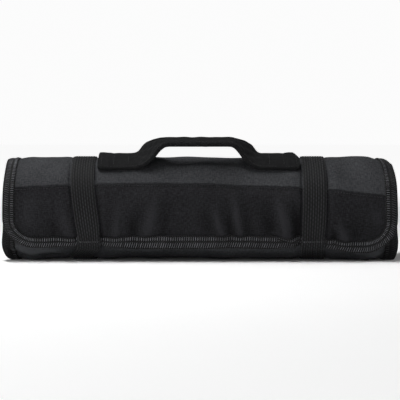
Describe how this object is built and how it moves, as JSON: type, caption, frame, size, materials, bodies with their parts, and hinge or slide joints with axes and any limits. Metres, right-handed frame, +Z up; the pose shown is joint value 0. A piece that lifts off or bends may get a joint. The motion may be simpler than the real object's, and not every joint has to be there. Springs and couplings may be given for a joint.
{
  "type": "tool roll",
  "caption": "Rolled-up cloth tool roll with a bound flap, elastic closing loops and a carry handle on top, lying closed.",
  "frame": {"origin": "middle of the underside, on the surface that the roll lies on", "axes": "+X along the roll, -Y the front where the flap hangs down, +Z up through the handle"},
  "size_m": [0.42, 0.1058, 0.1345],
  "materials": {
    "body_cloth": "dark gray woven polyester, matt",
    "flap_cloth": "black woven polyester, matt",
    "binding_tape": "black ribbed tape with zigzag stitching",
    "elastic": "black ribbed elastic, slight sheen",
    "handle_cloth": "black folded cloth, edge stitched"
  },
  "bodies": {
    "root": {"body_panel": "body_cloth", "flap_panel": "flap_cloth", "edge_binding": "binding_tape", "strap_left": "elastic", "strap_right": "elastic", "handle": "handle_cloth"}
  },
  "joints": []
}
